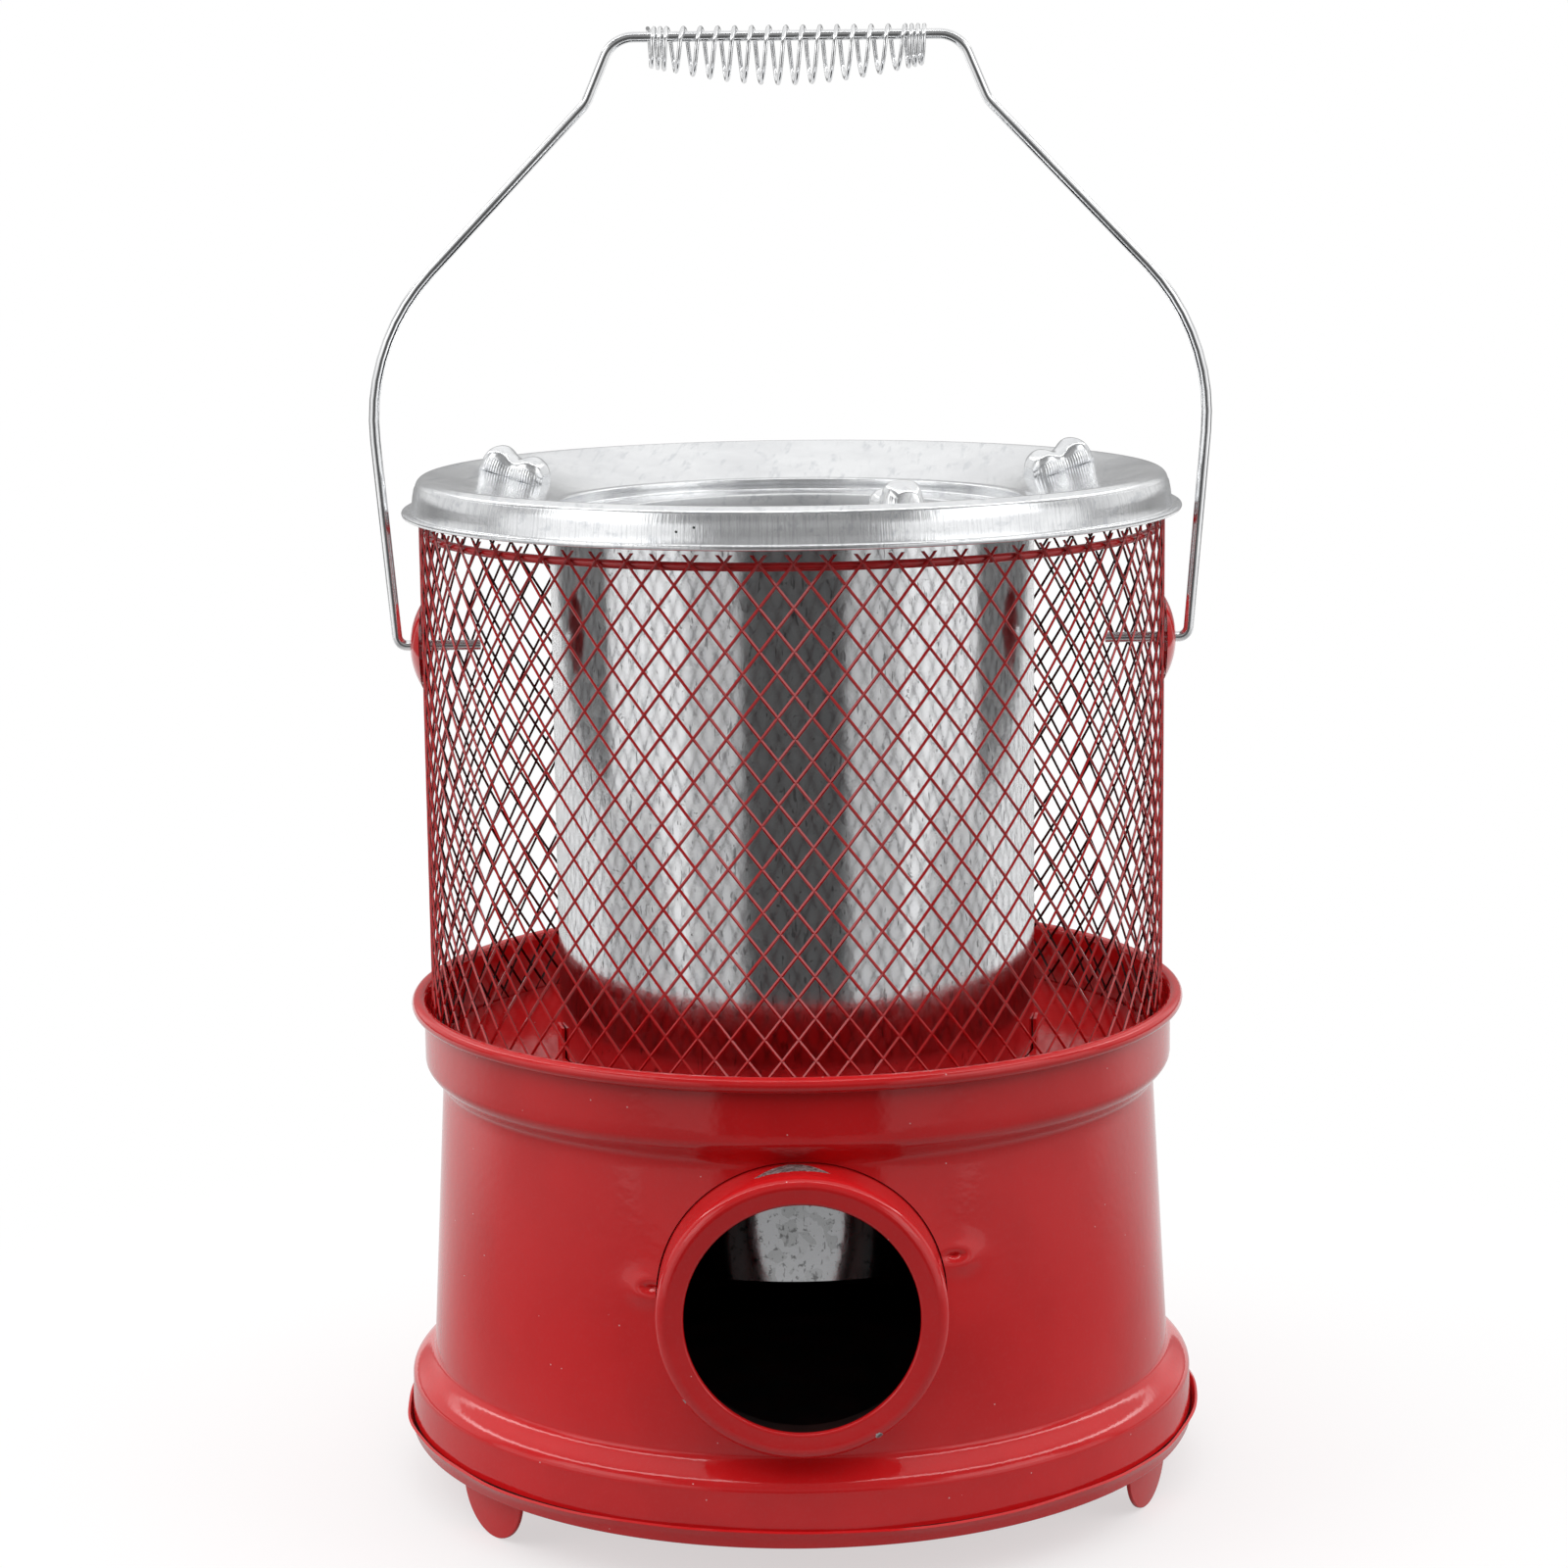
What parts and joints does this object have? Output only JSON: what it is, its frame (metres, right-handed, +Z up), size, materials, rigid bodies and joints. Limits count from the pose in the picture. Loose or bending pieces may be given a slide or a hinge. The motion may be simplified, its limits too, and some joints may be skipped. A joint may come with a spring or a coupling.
{
  "type": "charcoal heating stove",
  "caption": "Portable charcoal heating stove: red sheet-metal base with a round air port, bright fire tube in an expanded-metal guard, lift-off ring lid, wire bail with a spring grip.",
  "frame": {"origin": "on the ground under the middle of the stove, on the axis of the base", "axes": "+Z up along the stove's axis, -Y out of the air port, +X towards the right ear seen from the port"},
  "size_m": [0.2444, 0.2411, 0.4258],
  "materials": {
    "red_paint": "gloss",
    "galvanised": "galvanised, semi-bright",
    "bright_wire": "bright plated wire",
    "dark_iron": "matt"
  },
  "bodies": {
    "stove": {"floor_pan": "red_paint", "foot_front_left": "red_paint", "foot_front_right": "red_paint", "foot_rear": "red_paint", "base_shell": "red_paint", "port_collar": "red_paint", "deck_plate": "red_paint", "fire_tube": "galvanised", "grate": "dark_iron", "guard_mesh": "red_paint", "guard_hoop": "red_paint", "ear_left": "red_paint", "ear_right": "red_paint"},
    "lid": {"lid_cover": "galvanised"},
    "bail": {"bail_wire": "bright_wire"},
    "grip": {"grip_spring": "bright_wire"}
  },
  "joints": [
    {"name": "lid_lift", "type": "slide", "parent": "stove", "child": "lid", "axis": [0, 0, 1], "range_m": [0, 0.03]},
    {"name": "bail_swing", "type": "hinge", "parent": "stove", "child": "bail", "pos_m": [0, 0, 0.24882], "axis": [1, 0, 0], "range_deg": [-130, 130]},
    {"name": "grip_spin", "type": "hinge", "parent": "bail", "child": "grip", "pos_m": [0, 0, 0.42282], "axis": [1, 0, 0], "continuous": true}
  ]
}
